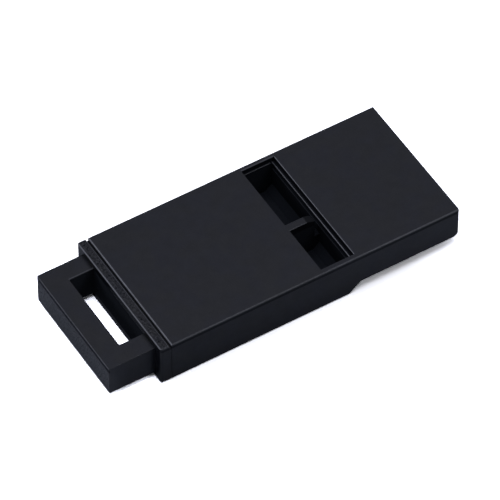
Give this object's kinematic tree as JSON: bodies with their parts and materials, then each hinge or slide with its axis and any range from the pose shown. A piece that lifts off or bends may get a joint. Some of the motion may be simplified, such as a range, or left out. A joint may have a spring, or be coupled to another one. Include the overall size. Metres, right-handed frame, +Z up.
{
  "type": "survival whistle",
  "caption": "Flat pealess two-tone survival whistle: moulded body with side-by-side air chambers and a window each, stepped mouthpiece, plugged end cap with a slotted lanyard tab.",
  "frame": {"origin": "on the resting face, at the middle of the whole length and width", "axes": "+X to the mouthpiece, +Y to the side of the wider chamber, +Z up through the windows"},
  "size_m": [0.046, 0.0186, 0.006],
  "materials": {
    "body_plastic": "black moulded ABS with a fine satin texture and slightly rounded edges",
    "cap_plastic": "black moulded ABS with a fine satin texture, a little coarser on the tab's end face"
  },
  "bodies": {
    "root": {"whistle_body": "body_plastic", "end_cap": "cap_plastic"}
  },
  "joints": []
}
